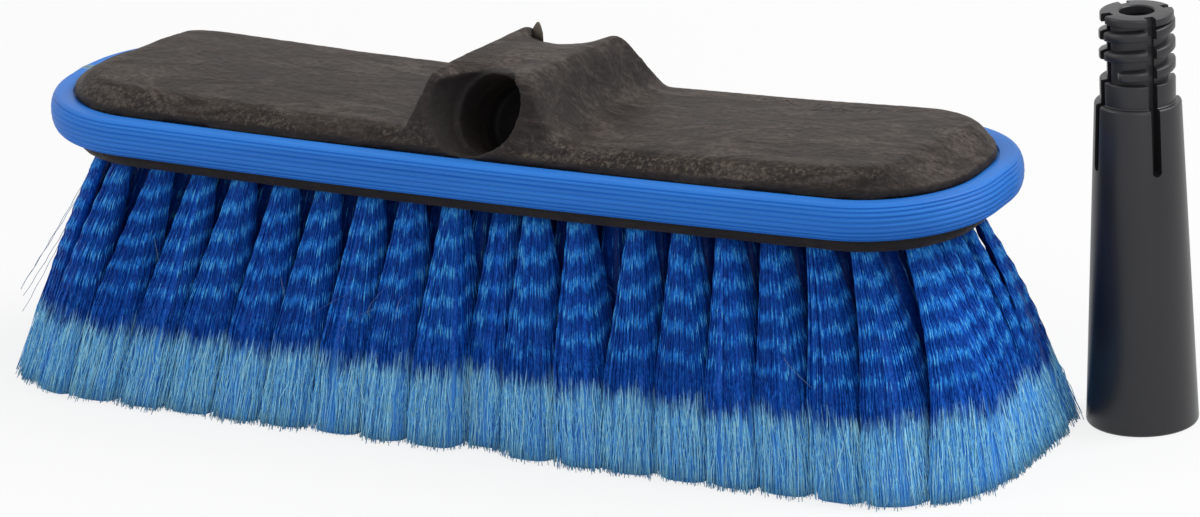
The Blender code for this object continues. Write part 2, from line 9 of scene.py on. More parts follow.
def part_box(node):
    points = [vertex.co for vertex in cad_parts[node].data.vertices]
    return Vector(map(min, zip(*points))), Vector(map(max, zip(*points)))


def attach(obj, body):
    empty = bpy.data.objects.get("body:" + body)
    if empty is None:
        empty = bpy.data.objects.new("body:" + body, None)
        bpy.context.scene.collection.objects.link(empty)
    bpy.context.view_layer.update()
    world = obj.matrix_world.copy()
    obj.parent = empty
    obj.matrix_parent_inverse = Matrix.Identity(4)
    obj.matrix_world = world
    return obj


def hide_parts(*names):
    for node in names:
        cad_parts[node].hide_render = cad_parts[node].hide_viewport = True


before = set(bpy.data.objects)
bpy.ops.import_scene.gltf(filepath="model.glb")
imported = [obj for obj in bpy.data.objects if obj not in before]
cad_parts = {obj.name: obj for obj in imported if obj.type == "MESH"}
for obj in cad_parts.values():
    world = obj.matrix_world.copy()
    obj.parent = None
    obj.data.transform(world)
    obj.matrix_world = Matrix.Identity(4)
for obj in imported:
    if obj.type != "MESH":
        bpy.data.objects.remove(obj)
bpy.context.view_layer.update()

mm = 0.001

# Places that the frame gives, in millimetres
blockLow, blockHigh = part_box("brush_block")
brushX = (blockLow[0] + blockHigh[0]) / 2 / mm
undersideZ = blockLow[2] / mm
adapterLow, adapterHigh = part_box("handle_adapter")
adapterX = (adapterLow[0] + adapterHigh[0]) / 2 / mm
adapterY = (adapterLow[1] + adapterHigh[1]) / 2 / mm
print("frame loaded, brush centre at x", round(brushX, 2), "mm")


def linked(name, data):
    obj = bpy.data.objects.new(name, data)
    bpy.context.scene.collection.objects.link(obj)
    return obj


# Camera, set up from the brush's centre

view = {
    "azimuth": 27.21, "elevation": 18.95, "roll": -2.511, "lens": 190.69, "sensor": 36,
    "fromBrush": (720.37, -1362.80, 564.63),  # mm
    "clip": (0.05, 20),  # m
}


def makeCamera():
    azimuth = radians(view["azimuth"])
    elevation = radians(view["elevation"])
    roll = radians(view["roll"])
    flat = cos(elevation)
    back = Vector((sin(azimuth) * flat, -cos(azimuth) * flat, sin(elevation)))
    right = Vector((cos(azimuth), sin(azimuth), 0))
    up = back.cross(right)
    cameraX = right * cos(roll) + up * sin(roll)
    cameraY = up * cos(roll) - right * sin(roll)
    data = bpy.data.cameras.new("camera")
    data.lens = view["lens"]
    data.sensor_width = view["sensor"]
    data.clip_start, data.clip_end = view["clip"]
    camera = linked("camera", data)
    x, y, z = view["fromBrush"]
    place = Vector((x + brushX, y, z)) * mm
    turn = Matrix((cameraX, cameraY, back)).transposed().to_4x4()
    camera.matrix_world = Matrix.Translation(place) @ turn
    bpy.context.scene.camera = camera


makeCamera()
print("camera placed")


# Helpers for meshes

def toFrame(x, y=0):
    # From millimetres about a piece's own centre to the frame's metres
    return Matrix.Translation((x * mm, y * mm, 0)) @ Matrix.Scale(mm, 4)


def addObject(name, mesh, material):
    obj = linked(name, mesh)
    mesh.materials.clear()
    mesh.materials.append(material)
    return obj


def smoothBelow(mesh, degrees):
    mesh.shade_smooth()
    mesh.set_sharp_from_angle(angle=radians(degrees))


def meshFromBm(name, bm):
    bmesh.ops.recalc_face_normals(bm, faces=bm.faces)
    if bm.calc_volume(signed=True) < 0:
        bmesh.ops.reverse_faces(bm, faces=bm.faces)
    mesh = bpy.data.meshes.new(name)
    bm.to_mesh(mesh)
    bm.free()
    return mesh


def bridge(bm, loops, closed=True):
    for lower, upper in zip(loops, loops[1:]):
        count = len(lower)
        for i in range(count if closed else count - 1):
            j = (i + 1) % count
            bm.faces.new((lower[i], lower[j], upper[j], upper[i]))


def loft(name, sections, ring=False, matrix=None):
    # A closed mesh through sections of points, as a ring or with a face at each end
    bm = bmesh.new()
    loops = [[bm.verts.new(point) for point in section] for section in sections]
    if ring:
        bridge(bm, loops + loops[:1])
    else:
        bridge(bm, loops)
        bm.faces.new(loops[0])
        bm.faces.new(loops[-1])
    if matrix is not None:
        bm.transform(matrix)
    return meshFromBm(name, bm)


def combine(obj, others, operation="DIFFERENCE"):
    # The other pieces are cut away or joined on, and then removed
    for other in others:
        step = obj.modifiers.new("combine", "BOOLEAN")
        step.operation = operation
        step.solver = "EXACT"
        step.object = other
    bakeModifiers(obj)
    for other in others:
        bpy.data.objects.remove(other, do_unlink=True)


def bakeModifiers(obj):
    bpy.context.view_layer.update()
    graph = bpy.context.evaluated_depsgraph_get()
    mesh = bpy.data.meshes.new_from_object(obj.evaluated_get(graph))
    obj.modifiers.clear()
    obj.data = mesh


def meshFromArrays(name, points, faces):
    # Points are (x, y, z) in metres; faces is a list of index arrays, each with its own corner count
    mesh = bpy.data.meshes.new(name)
    mesh.vertices.add(len(points))
    mesh.vertices.foreach_set("co", np.asarray(points, np.float32).ravel())
    corners = np.concatenate([np.asarray(part, np.int32).ravel() for part in faces])
    counts = np.concatenate([np.full(len(part), part.shape[1], np.int32) for part in faces])
    starts = np.concatenate(([0], np.cumsum(counts)[:-1])).astype(np.int32)
    mesh.loops.add(len(corners))
    mesh.loops.foreach_set("vertex_index", corners)
    mesh.polygons.add(len(counts))
    mesh.polygons.foreach_set("loop_start", starts)
    mesh.polygons.foreach_set("loop_total", counts)
    mesh.update()
    mesh.validate()
    return mesh


# Helpers for materials

def plug(node, values):
    # A plain value is set on the node's own socket, another node's output is linked to it
    for key, value in values.items():
        socket = node.inputs[key]
        if isinstance(value, bpy.types.NodeSocket):
            node.id_data.links.new(value, socket)
        elif socket.type == "RGBA":
            socket.default_value = (*value, 1)
        else:
            socket.default_value = value


def addNode(tree, kind, values=None, **settings):
    node = tree.nodes.new(kind)
    for key, value in settings.items():
        setattr(node, key, value)
    plug(node, values or {})
    return node


def newMaterial(name, color, roughness):
    material = bpy.data.materials.new(name)
    material.use_nodes = True
    tree = material.node_tree
    shader = tree.nodes["Principled BSDF"]
    plug(shader, {"Base Color": color, "Roughness": roughness})
    return material, tree, shader


def objectAt(tree):
    return addNode(tree, "ShaderNodeTexCoord").outputs["Object"]


def upPart(tree, vector):
    return addNode(tree, "ShaderNodeSeparateXYZ", {"Vector": vector}).outputs["Z"]


def attribute(tree, name):
    return addNode(tree, "ShaderNodeAttribute", attribute_name=name).outputs["Fac"]


def stretched(tree, scale):
    # Object coordinates, scaled by axis
    values = {"Vector": objectAt(tree), "Scale": scale}
    return addNode(tree, "ShaderNodeMapping", values).outputs["Vector"]


def noiseMap(tree, stretch, detail=4, roughness=0.55, distortion=0, scale=1.0):
    values = {"Vector": stretched(tree, stretch), "Scale": scale, "Detail": detail}
    values.update({"Roughness": roughness, "Distortion": distortion})
    return addNode(tree, "ShaderNodeTexNoise", values).outputs["Fac"]


def ramp(tree, factor, stops):
    node = addNode(tree, "ShaderNodeValToRGB", {"Fac": factor})
    elements = node.color_ramp.elements
    while len(elements) < len(stops):
        elements.new(0.5)
    for element, (place, color) in zip(elements, stops):
        element.position = place
        element.color = (*color, 1)
    return node.outputs["Color"]


def level(tree, factor, low, high, outLow=0, outHigh=1):
    # Low to high becomes outLow to outHigh, and stays there beyond
    values = {"Value": factor, "From Min": low, "From Max": high, "To Min": outLow, "To Max": outHigh}
    return addNode(tree, "ShaderNodeMapRange", values).outputs["Result"]


def maths(tree, operation, a, b):
    return addNode(tree, "ShaderNodeMath", {0: a, 1: b}, operation=operation).outputs["Value"]


def times(tree, a, b):
    return maths(tree, "MULTIPLY", a, b)


def blend(tree, factor, a, b, mode="MIX"):
    # Sockets 0, 6 and 7 of the node are its factor and its two colours
    values = {0: factor, 6: a, 7: b}
    return addNode(tree, "ShaderNodeMix", values, data_type="RGBA", blend_type=mode).outputs[2]


def bump(tree, height, distance, strength, before=None):
    values = {"Height": height, "Distance": distance, "Strength": strength}
    if before is not None:
        values["Normal"] = before
    return addNode(tree, "ShaderNodeBump", values).outputs["Normal"]


# Block: a bar of foamed plastic with a hump and two handle sockets, sizes in mm

block = {
    "length": 254, "width": 62, "corner": 27,
    "cornerSteps": 20,
    "planStep": 1.25, "endRise": 1.4,
    "skirtHeight": 5.2, "skirtTopInset": 0.2, "skirtBottomInset": 3.6, "skirtRound": 1.6,
    "grooveInset": 3.6, "bumperHeight": 9.7,
    "seatDrop": 0.9, "seatGap": 0.3,
    "wallFoot": 0.3, "wallEdge": 0.9, "wallTop": 1.3, "wallHeight": 1.9,
    "shoulderWidth": 5.6, "shoulderRise": 3.1, "shoulderFullness": 0.85,
    "domeRise": 0.5, "dishRise": 2.0,
    "endSlopeLength": 12, "endSlopeDrop": 8.2, "endSlopePower": 1.1, "endSlopeSkew": 11,
    "crestHeight": 19.2, "crestHalf": 11.4, "footHalf": 36,
    "footLeftShift": 11, "crestLeftShift": 0.2, "crestLeftYaw": 8, "crestRightShift": 2.2,
    "flankPower": 4.0,
    "crestYaw": 12, "footYaw": -6,
    "faceLean": 28, "faceFootInset": 0.6, "faceBlend": 1.4,
    "lipSag": 3.2,
    "socketYaw": 10.5, "socketElevation": 25, "socketSides": 96,
    "rimSideStep": 0.6, "rimInset": 12.4, "rimRise": 8.1, "rimRadius": 11.4,
    "boreRadius": 10.2, "boreDepth": 15.5, "boreStep": 0.5,
    "threadDepth": 0.3, "threadPitch": 5.08, "threadStart": 2.5,
    "mouthReach": 8, "mouthRadius": 12.2, "mouthSideStep": 1.1, "mouthSteps": 24,
    "lipLift": 0.9, "lipTear": 0.9,
    "voxel": 0.6, "softenPasses": 3,
    "roughHeight": 0.16,
    "swirlSize": (30, 9), "flowSize": (26, 7), "flowShare": 0.7,
    "dentSize": 1.7, "dentShare": 0.35,
    # Where the painted shade inside the sockets reaches and fades, and the less shaded ring at the rim
    "hollowMargin": 0.8, "hollowFade": 0.5,
    "ringMiddle": 0.3, "ringHalf": 0.6, "ringShare": 0.35,
    "flashFoot": (-5.9, 19.2, 15.4),  # over the bumper's top
    "flashLean": (0.12, 0.1, 1),
    "flashSections": ((0, 2.2, 0.9), (2.6, 1.7, 0.7), (4.2, 1.0, 0.45), (5.2, 0.4, 0.2)),
    "flashSides": 10, "flowStretch": (30, 66, 66),
    "flowStops": (
        (0.41, (0.02, 0.0145, 0.0115)), (0.5, (0.05, 0.038, 0.0325)), (0.59, (0.1, 0.082, 0.072)),
    ),
    "cloudColor": (0.02, 0.0148, 0.0125),
    "grainStops": ((0.36, (0.3, 0.3, 0.3)), (0.62, (1.1, 1.1, 1.1))),
    "speckColor": (0.15, 0.125, 0.1),
    "speckHeights": (8, 5.5),  # over the bumper's top, where the specks begin and are full
    "sideShadeColor": (0.012, 0.0105, 0.0115), "socketShadeColor": (0.02, 0.017, 0.017),
    "recessShadeColor": (0.001, 0.001, 0.0012),
}
bumperBottom = undersideZ + block["skirtHeight"]
bumperTop = bumperBottom + block["bumperHeight"]
halfLength = block["length"] / 2
halfWidth = block["width"] / 2
straightX = halfLength - block["corner"]
straightY = halfWidth - block["corner"]
mouthFlare = (block["mouthRadius"] - block["rimRadius"]) / block["mouthReach"]
mouthLean = block["mouthSideStep"] / block["mouthReach"]


def slope(degrees):
    return tan(radians(degrees))


def endRise(x):
    return block["endRise"] * (x / halfLength) ** 2


def planOutline(cornerSteps, sideSteps):
    # Points and outward normals round the block's plan
    sideXs = [-straightX + 2 * straightX * i / sideSteps for i in range(1, sideSteps)]
    points = [((x, -halfWidth), (0, -1)) for x in sideXs]
    corners = ((1, -1, -0.5), (1, 1, 0), (-1, 1, 0.5), (-1, -1, 1))
    for number, (sideX, sideY, start) in enumerate(corners):
        for step in range(cornerSteps + 1):
            angle = pi * (start + step / cornerSteps / 2)
            normal = (cos(angle), sin(angle))
            x = sideX * straightX + block["corner"] * normal[0]
            y = sideY * straightY + block["corner"] * normal[1]
            points.append(((x, y), normal))
        if number == 1:
            points += [((x, halfWidth), (0, 1)) for x in reversed(sideXs)]
    return points


def smoothMin(a, b, width):
    gap = max(width - abs(a - b), 0) / width
    return min(a, b) - gap * gap * width / 4


def humpShare(x, y):
    # 1 over the crest, falling to 0 at the hump's feet
    middle = y * slope(block["crestYaw"])
    if x > middle:
        crest = middle + block["crestHalf"] + block["crestRightShift"]
        foot = block["footHalf"] + y * slope(block["footYaw"])
    else:
        crest = y * slope(block["crestLeftYaw"]) - block["crestHalf"] - block["crestLeftShift"]
        foot = block["footLeftShift"] - block["footHalf"]
    run = min(max((x - crest) / (foot - crest), 0), 1)
    return ((1 + cos(pi * run)) / 2) ** block["flankPower"]


def lipSagShare(x, y):
    away = (x - y * slope(block["crestYaw"])) / block["crestHalf"]
    return (y / halfWidth) ** 2 * max(1 - away * away, 0) * halfWidth / block["rimRadius"]


def blockTop(x, y, inset):
    # Height of the moulding, from the wall over the shoulder to the dome, with the hump on it
    shoulderEnd = block["wallTop"] + block["shoulderWidth"]
    if inset <= shoulderEnd:
        share = max((inset - block["wallTop"]) / block["shoulderWidth"], 0)
        rise = block["shoulderRise"] * sin(pi / 2 * share) ** block["shoulderFullness"]
    else:
        share = (inset - shoulderEnd) / (halfWidth - shoulderEnd)
        rise = block["shoulderRise"] + block["domeRise"] * sin(pi / 2 * share)
    dish = block["dishRise"] * (x / halfLength) ** 2 * rise / block["shoulderRise"]
    skew = copysign(y * slope(block["endSlopeSkew"]), x * y)
    over = max(abs(x) - skew - (halfLength - block["endSlopeLength"]), 0) / block["endSlopeLength"]
    drop = block["endSlopeDrop"] * over ** block["endSlopePower"]
    plain = block["wallHeight"] + rise + dish
    plain -= drop * rise / (block["shoulderRise"] + block["domeRise"])
    crest = block["crestHeight"] - block["lipSag"] * lipSagShare(x, y)
    hump = (crest - plain) * humpShare(x, y)
    if hump > 0:
        face = (halfWidth - block["faceFootInset"] - abs(y)) / slope(block["faceLean"])
        hump = smoothMin(hump, max(face - plain, 0), min(block["faceBlend"], hump))
    return bumperTop + plain + hump


def socketMatrix(side):
    # +Z points out of the mouth, and the origin is in the middle of the rim
    turn = Matrix.Rotation(0 if side < 0 else pi, 4, "Z")
    rim = Vector((block["rimSideStep"], block["rimInset"] - halfWidth, bumperTop + block["rimRise"]))
    lean = Matrix.Rotation(pi / 2 - radians(block["socketElevation"]), 4, "X")
    yaw = Matrix.Rotation(-radians(block["socketYaw"]), 4, "Z")
    return turn @ Matrix.Translation(rim) @ yaw @ lean


def socketRadius(side, angle, turn, z):
    if z <= 0:
        phase = (z / block["threadPitch"] - turn) % 1
        ridge = max(0, 1 - abs(phase - 0.5) * 5) * min(max(-z - block["threadStart"], 0), 1)
        return block["boreRadius"] - block["threadDepth"] * min(ridge * 2, 1)
    place = Vector((cos(angle) * 4, sin(angle) * 2, side * 5))
    torn = noise.fractal(place, 0.7, 2.2, 4) * block["lipTear"] - block["lipLift"] * side
    return block["rimRadius"] + mouthFlare * z + max(sin(angle), 0) * torn * min(z / 4, 1)


def socketCutter(side, material):
    # A threaded bore that opens into a wider mouth, leaning to one side, with a torn upper lip
    sides, steps = block["socketSides"], block["mouthSteps"]
    depth, step = block["boreDepth"], block["boreStep"]
    outside = block["mouthReach"] + block["mouthRadius"]
    levels = [-depth + step * i for i in range(int(depth / step) + 1)]
    levels += [0.02] + [outside * i / steps for i in range(1, steps + 1)]
    sections = []
    for z in levels:
        section = []
        for i in range(sides):
            angle = tau * i / sides
            radius = socketRadius(side, angle, i / sides, z)
            x = radius * cos(angle) - mouthLean * max(z, 0)
            section.append((x, radius * sin(angle), z))
        sections.append(section)
    mesh = loft("socketCutter", sections, matrix=socketMatrix(side))
    return addObject("socketCutter", mesh, material)


def closeAcross(bm, loop, sideSteps, cuts):
    # Rows of faces across the block between the front and rear halves of a loop
    count = len(loop)
    first = count - block["cornerSteps"] - 1
    mirror = 2 * (sideSteps + block["cornerSteps"]) - 1
    rows = []
    for step in range(count // 2):
        i = (first + step) % count
        a, b = loop[i], loop[(mirror - i) % count]
        row = [a]
        for cut in range(1, cuts):
            x, y, z = a.co.lerp(b.co, cut / cuts)
            if z > bumperTop:
                z = blockTop(x, y, halfWidth - abs(y)) + endRise(x)
            row.append(bm.verts.new((x, y, z)))
        rows.append(row + [b])
    bridge(bm, rows, closed=False)


def makeBlock(material):
    sideSteps = int(2 * straightX / block["planStep"])
    plan = planOutline(block["cornerSteps"], sideSteps)
    seat = bumperTop - block["seatDrop"] + block["seatGap"]
    skirtTop = bumperBottom - block["seatGap"]
    rings = [
        (block["skirtBottomInset"] * 2, undersideZ),
        (block["skirtBottomInset"], undersideZ),
        (block["skirtBottomInset"] * 0.35, undersideZ + block["skirtRound"] * 0.55),
        (block["skirtTopInset"], undersideZ + block["skirtRound"] * 1.5),
        (block["skirtTopInset"], skirtTop),
        (block["grooveInset"], skirtTop),
        (block["grooveInset"], seat),
        (block["wallFoot"], seat),
    ]
    insets = [block["wallEdge"], block["wallTop"]]
    while insets[-1] < block["corner"] * 0.95:
        step = 0.45 + insets[-1] * 0.06
        insets.append(min(insets[-1] + step, block["corner"] * 0.97))
    bm = bmesh.new()
    loops = []
    for inset, height in rings + [(inset, None) for inset in insets]:
        loop = []
        for (x, y), (nx, ny) in plan:
            px, py = x - nx * inset, y - ny * inset
            z = blockTop(px, py, inset) if height is None else height
            loop.append(bm.verts.new((px, py, z + endRise(px))))
        loops.append(loop)
    bridge(bm, loops)
    closeAcross(bm, loops[0], sideSteps, 1)
    closeAcross(bm, loops[-1], sideSteps, 8)
    obj = addObject("brushBlock", meshFromBm("brushBlock", bm), material)
    combine(obj, [socketCutter(-1, material), socketCutter(1, material)])
    remesh = obj.modifiers.new("remesh", "REMESH")
    remesh.mode = "VOXEL"
    remesh.voxel_size = block["voxel"]
    soften = obj.modifiers.new("soften", "SMOOTH")
    soften.factor = 0.5
    soften.iterations = block["softenPasses"]
    bakeModifiers(obj)
    roughen(obj.data)
    addFlash(obj.data)
    obj.data.transform(toFrame(brushX))
    obj.data.shade_smooth()
    return obj


def markHollows(mesh, places):
    # How far each point belongs to the wall of a socket, a mask for the painted shade inside the
    # sockets, with the ring at its rim left less shaded
    hollow = np.zeros(len(places))
    for side in (-1, 1):
        inward = np.array(socketMatrix(side).inverted())
        x, y, z = (places @ inward[:3, :3].T + inward[:3, 3]).T
        out = np.maximum(z, 0)
        away = np.hypot(x + mouthLean * out, y)
        wall = block["rimRadius"] + mouthFlare * out + block["hollowMargin"]
        share = np.clip((wall - away) / block["hollowFade"], 0, 1) * (z > -block["boreDepth"] - 1)
        ring = np.clip(1 - np.abs(z - block["ringMiddle"]) / block["ringHalf"], 0, 1)
        hollow = np.maximum(hollow, share * (1 - block["ringShare"] * ring))
    mesh.attributes.new("hollow", "FLOAT", "POINT").data.foreach_set("value", hollow)


def roughen(mesh):
    # Flow marks and small dents of the foamed skin, as true relief
    places = np.empty(len(mesh.vertices) * 3)
    normals = np.empty(len(mesh.vertices) * 3)
    mesh.vertices.foreach_get("co", places)
    mesh.vertices.foreach_get("normal", normals)
    places = places.reshape(-1, 3)
    amounts = np.empty(len(places))
    swirlX, swirlY = block["swirlSize"]
    flowX, flowY = block["flowSize"]
    dent = block["dentSize"]
    for i, (x, y, z) in enumerate(places):
        swirl = noise.noise(Vector((x / swirlX, y / swirlY, z / swirlY)))
        place = Vector((x / flowX + swirl, y / flowY + swirl * 2, z / flowY))
        flow = noise.fractal(place, 0.8, 2.1, 4)
        fine = noise.noise(Vector((x / dent, y / dent, z / dent)))
        amounts[i] = (flow * block["flowShare"] + fine * block["dentShare"]) * block["roughHeight"]
    markHollows(mesh, places)
    places += normals.reshape(-1, 3) * amounts[:, None]
    mesh.vertices.foreach_set("co", places.ravel())
    mesh.update()


def addFlash(mesh):
    # A thin pointed rag of flash on the lip over the rear socket, marked by a hollow of -1
    bm = bmesh.new()
    bm.from_mesh(mesh)
    mark = bm.verts.layers.float["hollow"]
    x, y, z = block["flashFoot"]
    foot = Vector((x, y, bumperTop + z))
    loops = []
    for height, halfX, halfY in block["flashSections"]:
        loop = []
        for i in range(block["flashSides"]):
            angle = tau * i / block["flashSides"]
            lean = Vector(block["flashLean"]) * height
            offset = Vector((halfX * cos(angle), halfY * sin(angle), 0))
            loop.append(bm.verts.new(foot + lean + offset))
            loop[-1][mark] = -1
        loops.append(loop)
    bridge(bm, loops)
    bm.faces.new(list(reversed(loops[0])))
    bm.faces.new(loops[-1])
    bm.to_mesh(mesh)
    bm.free()


def blockMaterial():
    # Brown-black skin with swirls of flow, fine grain, and a paler speckle along the shoulders
    material, tree, shader = newMaterial("foamedPlastic", (0.044, 0.034, 0.029), 0.55)
    swirl = noiseMap(tree, block["flowStretch"], 9, 0.66, 2.4)
    broad = noiseMap(tree, (10, 26, 26), distortion=1.0)
    grain = noiseMap(tree, (600, 800, 800), 4, 0.75)
    tone = ramp(tree, swirl, block["flowStops"])
    tone = blend(tree, level(tree, broad, 0.42, 0.66, 0, 0.55), tone, block["cloudColor"])
    tone = blend(tree, 1.0, tone, ramp(tree, grain, block["grainStops"]), "MULTIPLY")

    # Specks on the rounded shoulders, low down and in patches
    lean = upPart(tree, addNode(tree, "ShaderNodeNewGeometry").outputs["Normal"])
    shoulder = times(tree, level(tree, lean, 0.97, 0.85), level(tree, lean, 0.3, 0.55))
    speck = noiseMap(tree, (900, 900, 900), 4, 0.75)
    patch = level(tree, noiseMap(tree, block["flowStretch"], 3, scale=1.3), 0.36, 0.52)
    begin, full = [(bumperTop + height) * mm for height in block["speckHeights"]]
    low = level(tree, upPart(tree, objectAt(tree)), begin, full)
    pale = times(tree, level(tree, speck, 0.5, 0.62), times(tree, shoulder, patch))
    pale = times(tree, times(tree, pale, low), 0.7)
    color = blend(tree, pale, tone, block["speckColor"])

    # Painted shade on upright sides and in the sockets, paler on the flash
    hollow = attribute(tree, "hollow")
    color = blend(tree, level(tree, lean, 0.85, 0.05, 0, 0.82), color, block["sideShadeColor"])
    # Painted shade inside the sockets, darkest on their walls
    color = blend(tree, times(tree, hollow, 0.9), color, block["socketShadeColor"])
    color = blend(tree, level(tree, hollow, 0, -1, 0, 0.9), color, block["speckColor"])
    # Painted shade in recesses and creases, from ambient occlusion
    recess = addNode(tree, "ShaderNodeAmbientOcclusion", {"Distance": 0.022}, samples=8)
    depth = level(tree, recess.outputs["AO"], 0.1, 0.8, 0.3, 1)
    color = blend(tree, depth, block["recessShadeColor"], color)

    # Relief of the flow, short cracks on the flat top, and the grain
    cells = {"Vector": stretched(tree, (230, 90, 90)), "Scale": 1.0}
    cracks = addNode(tree, "ShaderNodeTexVoronoi", cells, feature="DISTANCE_TO_EDGE")
    flatTop = times(tree, level(tree, lean, 0.975, 0.99), level(tree, broad, 0.46, 0.4))
    crackMask = times(tree, level(tree, cracks.outputs["Distance"], 0.035, 0), flatTop)
    relief = bump(tree, swirl, 0.0011, 0.6)
    relief = bump(tree, times(tree, crackMask, -1), 0.0006, 1.0, relief)
    relief = bump(tree, grain, 0.00035, 0.55, relief)
    plug(shader, {
        "Base Color": color,
        "Roughness": level(tree, swirl, 0.3, 0.7, 0.46, 0.66),
        "Normal": relief,
        "Specular IOR Level": 0.13,
        "Sheen Weight": 0.05,
        "Sheen Roughness": 0.5,
        "Sheen Tint": (1, 0.82, 0.72),
    })
    return material


brushBlock = makeBlock(blockMaterial())
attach(brushBlock, "brush")
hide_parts("brush_block")
print("block made,", len(brushBlock.data.polygons), "faces")


# Bumper: a ribbed strip of soft plastic, butted at the left end, sizes in mm

bumper = {
    "cornerSteps": 40, "sideSteps": 80,
    "bulge": 6.0, "land": 3.3,
    "lipHeight": 0.9, "lipFoot": (-0.05, 0.6), "lipWidth": 1.2,
    "fullness": 0.8, "grooves": 8,
    "grooveDepth": 0.42,
    "grooveStart": 0.16,  # shares of the way down the outer face
    "grooveSpan": 0.72,
    "seamGap": 0.3, "seamShare": 0.35,
    "seamSwell": 0.45, "seamSwellWidth": 2.4,
    "waveLength": 22, "waveHeight": 0.12,
    "faceSteps": 96, "streakStops": ((0.3, (0.019, 0.165, 0.6)), (0.7, (0.029, 0.22, 0.73))),
    "glueColor": (0.22, 0.33, 0.3), "glueInset": -3,
}


def bumperSection():
    # Closed outline as (out, up), with a smooth top band and fine grooves below it
    height = block["bumperHeight"]
    inner = block["seatGap"] - block["grooveInset"]
    seat = height - bumper["lipHeight"]
    lipX, lipZ = bumper["lipFoot"]
    section = [(inner, 0), (inner, seat), (0, seat), (lipX, seat + lipZ)]
    section += [(bumper["lipWidth"], height), (bumper["lipWidth"] + 1, height + 0.02)]
    reach = bumper["bulge"] - bumper["land"]
    for i in range(bumper["faceSteps"] + 1):
        share = i / bumper["faceSteps"]
        angle = pi / 2 - pi * share
        out = bumper["land"] + reach * max(cos(angle), 0) ** bumper["fullness"]
        place = (share - bumper["grooveStart"]) / bumper["grooveSpan"] * bumper["grooves"]
        groove = 0
        if 0 <= place <= bumper["grooves"]:
            groove = bumper["grooveDepth"] * max(0, 1 - abs(place % 1 - 0.5) * 3)
        section.append((out - groove, height / 2 * (1 + sin(angle))))
    return section


def makeBumper(material):
    plan = planOutline(bumper["cornerSteps"], bumper["sideSteps"])
    seamY = straightY * bumper["seamShare"]
    seam = [((-halfLength, seamY), (-1, 0))]
    after = len(plan) - bumper["cornerSteps"] - 1
    ordered = seam + plan[after:] + plan[:after] + seam
    outline = bumperSection()
    sections = []
    for number, ((x, y), (nx, ny)) in enumerate(ordered):
        shift = 0
        if number in (0, len(ordered) - 1):
            shift = bumper["seamGap"] / 2 * (1 if number == 0 else -1)
        place = Vector((x / bumper["waveLength"], y / bumper["waveLength"], 3.1))
        wave = noise.noise(place) * bumper["waveHeight"]
        if x < 0:
            wave += bumper["seamSwell"] * exp(-((y - seamY) / bumper["seamSwellWidth"]) ** 2)
        section = []
        for offset, up in outline:
            out = offset + (wave if offset > 0 else 0)
            px = x + nx * out - ny * shift
            py = y + ny * out + nx * shift
            section.append((px, py, bumperBottom + up + endRise(px)))
        sections.append(section)
    mesh = loft("bumperStrip", sections)
    mesh.transform(toFrame(brushX))
    smoothBelow(mesh, 50)
    return addObject("bumperStrip", mesh, material)


def bumperMaterial():
    # Blue with faint streaks along the strip, and a spot of glue on the seam
    material, tree, shader = newMaterial("blueRubber", (0.026, 0.175, 0.6), 0.45)
    streaks = noiseMap(tree, (12, 40, 300), 5, 0.6, 0.4)
    glueX = brushX - halfLength + bumper["glueInset"]
    seamTop = (glueX, straightY * bumper["seamShare"], bumperTop + block["endRise"])
    ends = {0: objectAt(tree), 1: [value * mm for value in seamTop]}
    glue = addNode(tree, "ShaderNodeVectorMath", ends, operation="DISTANCE").outputs["Value"]
    near = maths(tree, "ADD", times(tree, glue, 1000), noiseMap(tree, (700, 700, 700), 3))
    tone = ramp(tree, streaks, bumper["streakStops"])
    plug(shader, {
        "Base Color": blend(tree, level(tree, near, 2.6, 1.9, 0, 0.75), tone, bumper["glueColor"]),
        "Roughness": level(tree, streaks, 0.3, 0.7, 0.38, 0.52),
        "Normal": bump(tree, noiseMap(tree, (900, 900, 900), 3), 0.00008, 0.5),
        "Specular IOR Level": 0.22,
    })
    return material


bumperStrip = makeBumper(bumperMaterial())
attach(bumperStrip, "brush")
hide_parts("bumper_strip")
print("bumper made,", len(bumperStrip.data.polygons), "faces")


# Bristles: tufts of crimped fibres with split, paler ends, sizes in mm

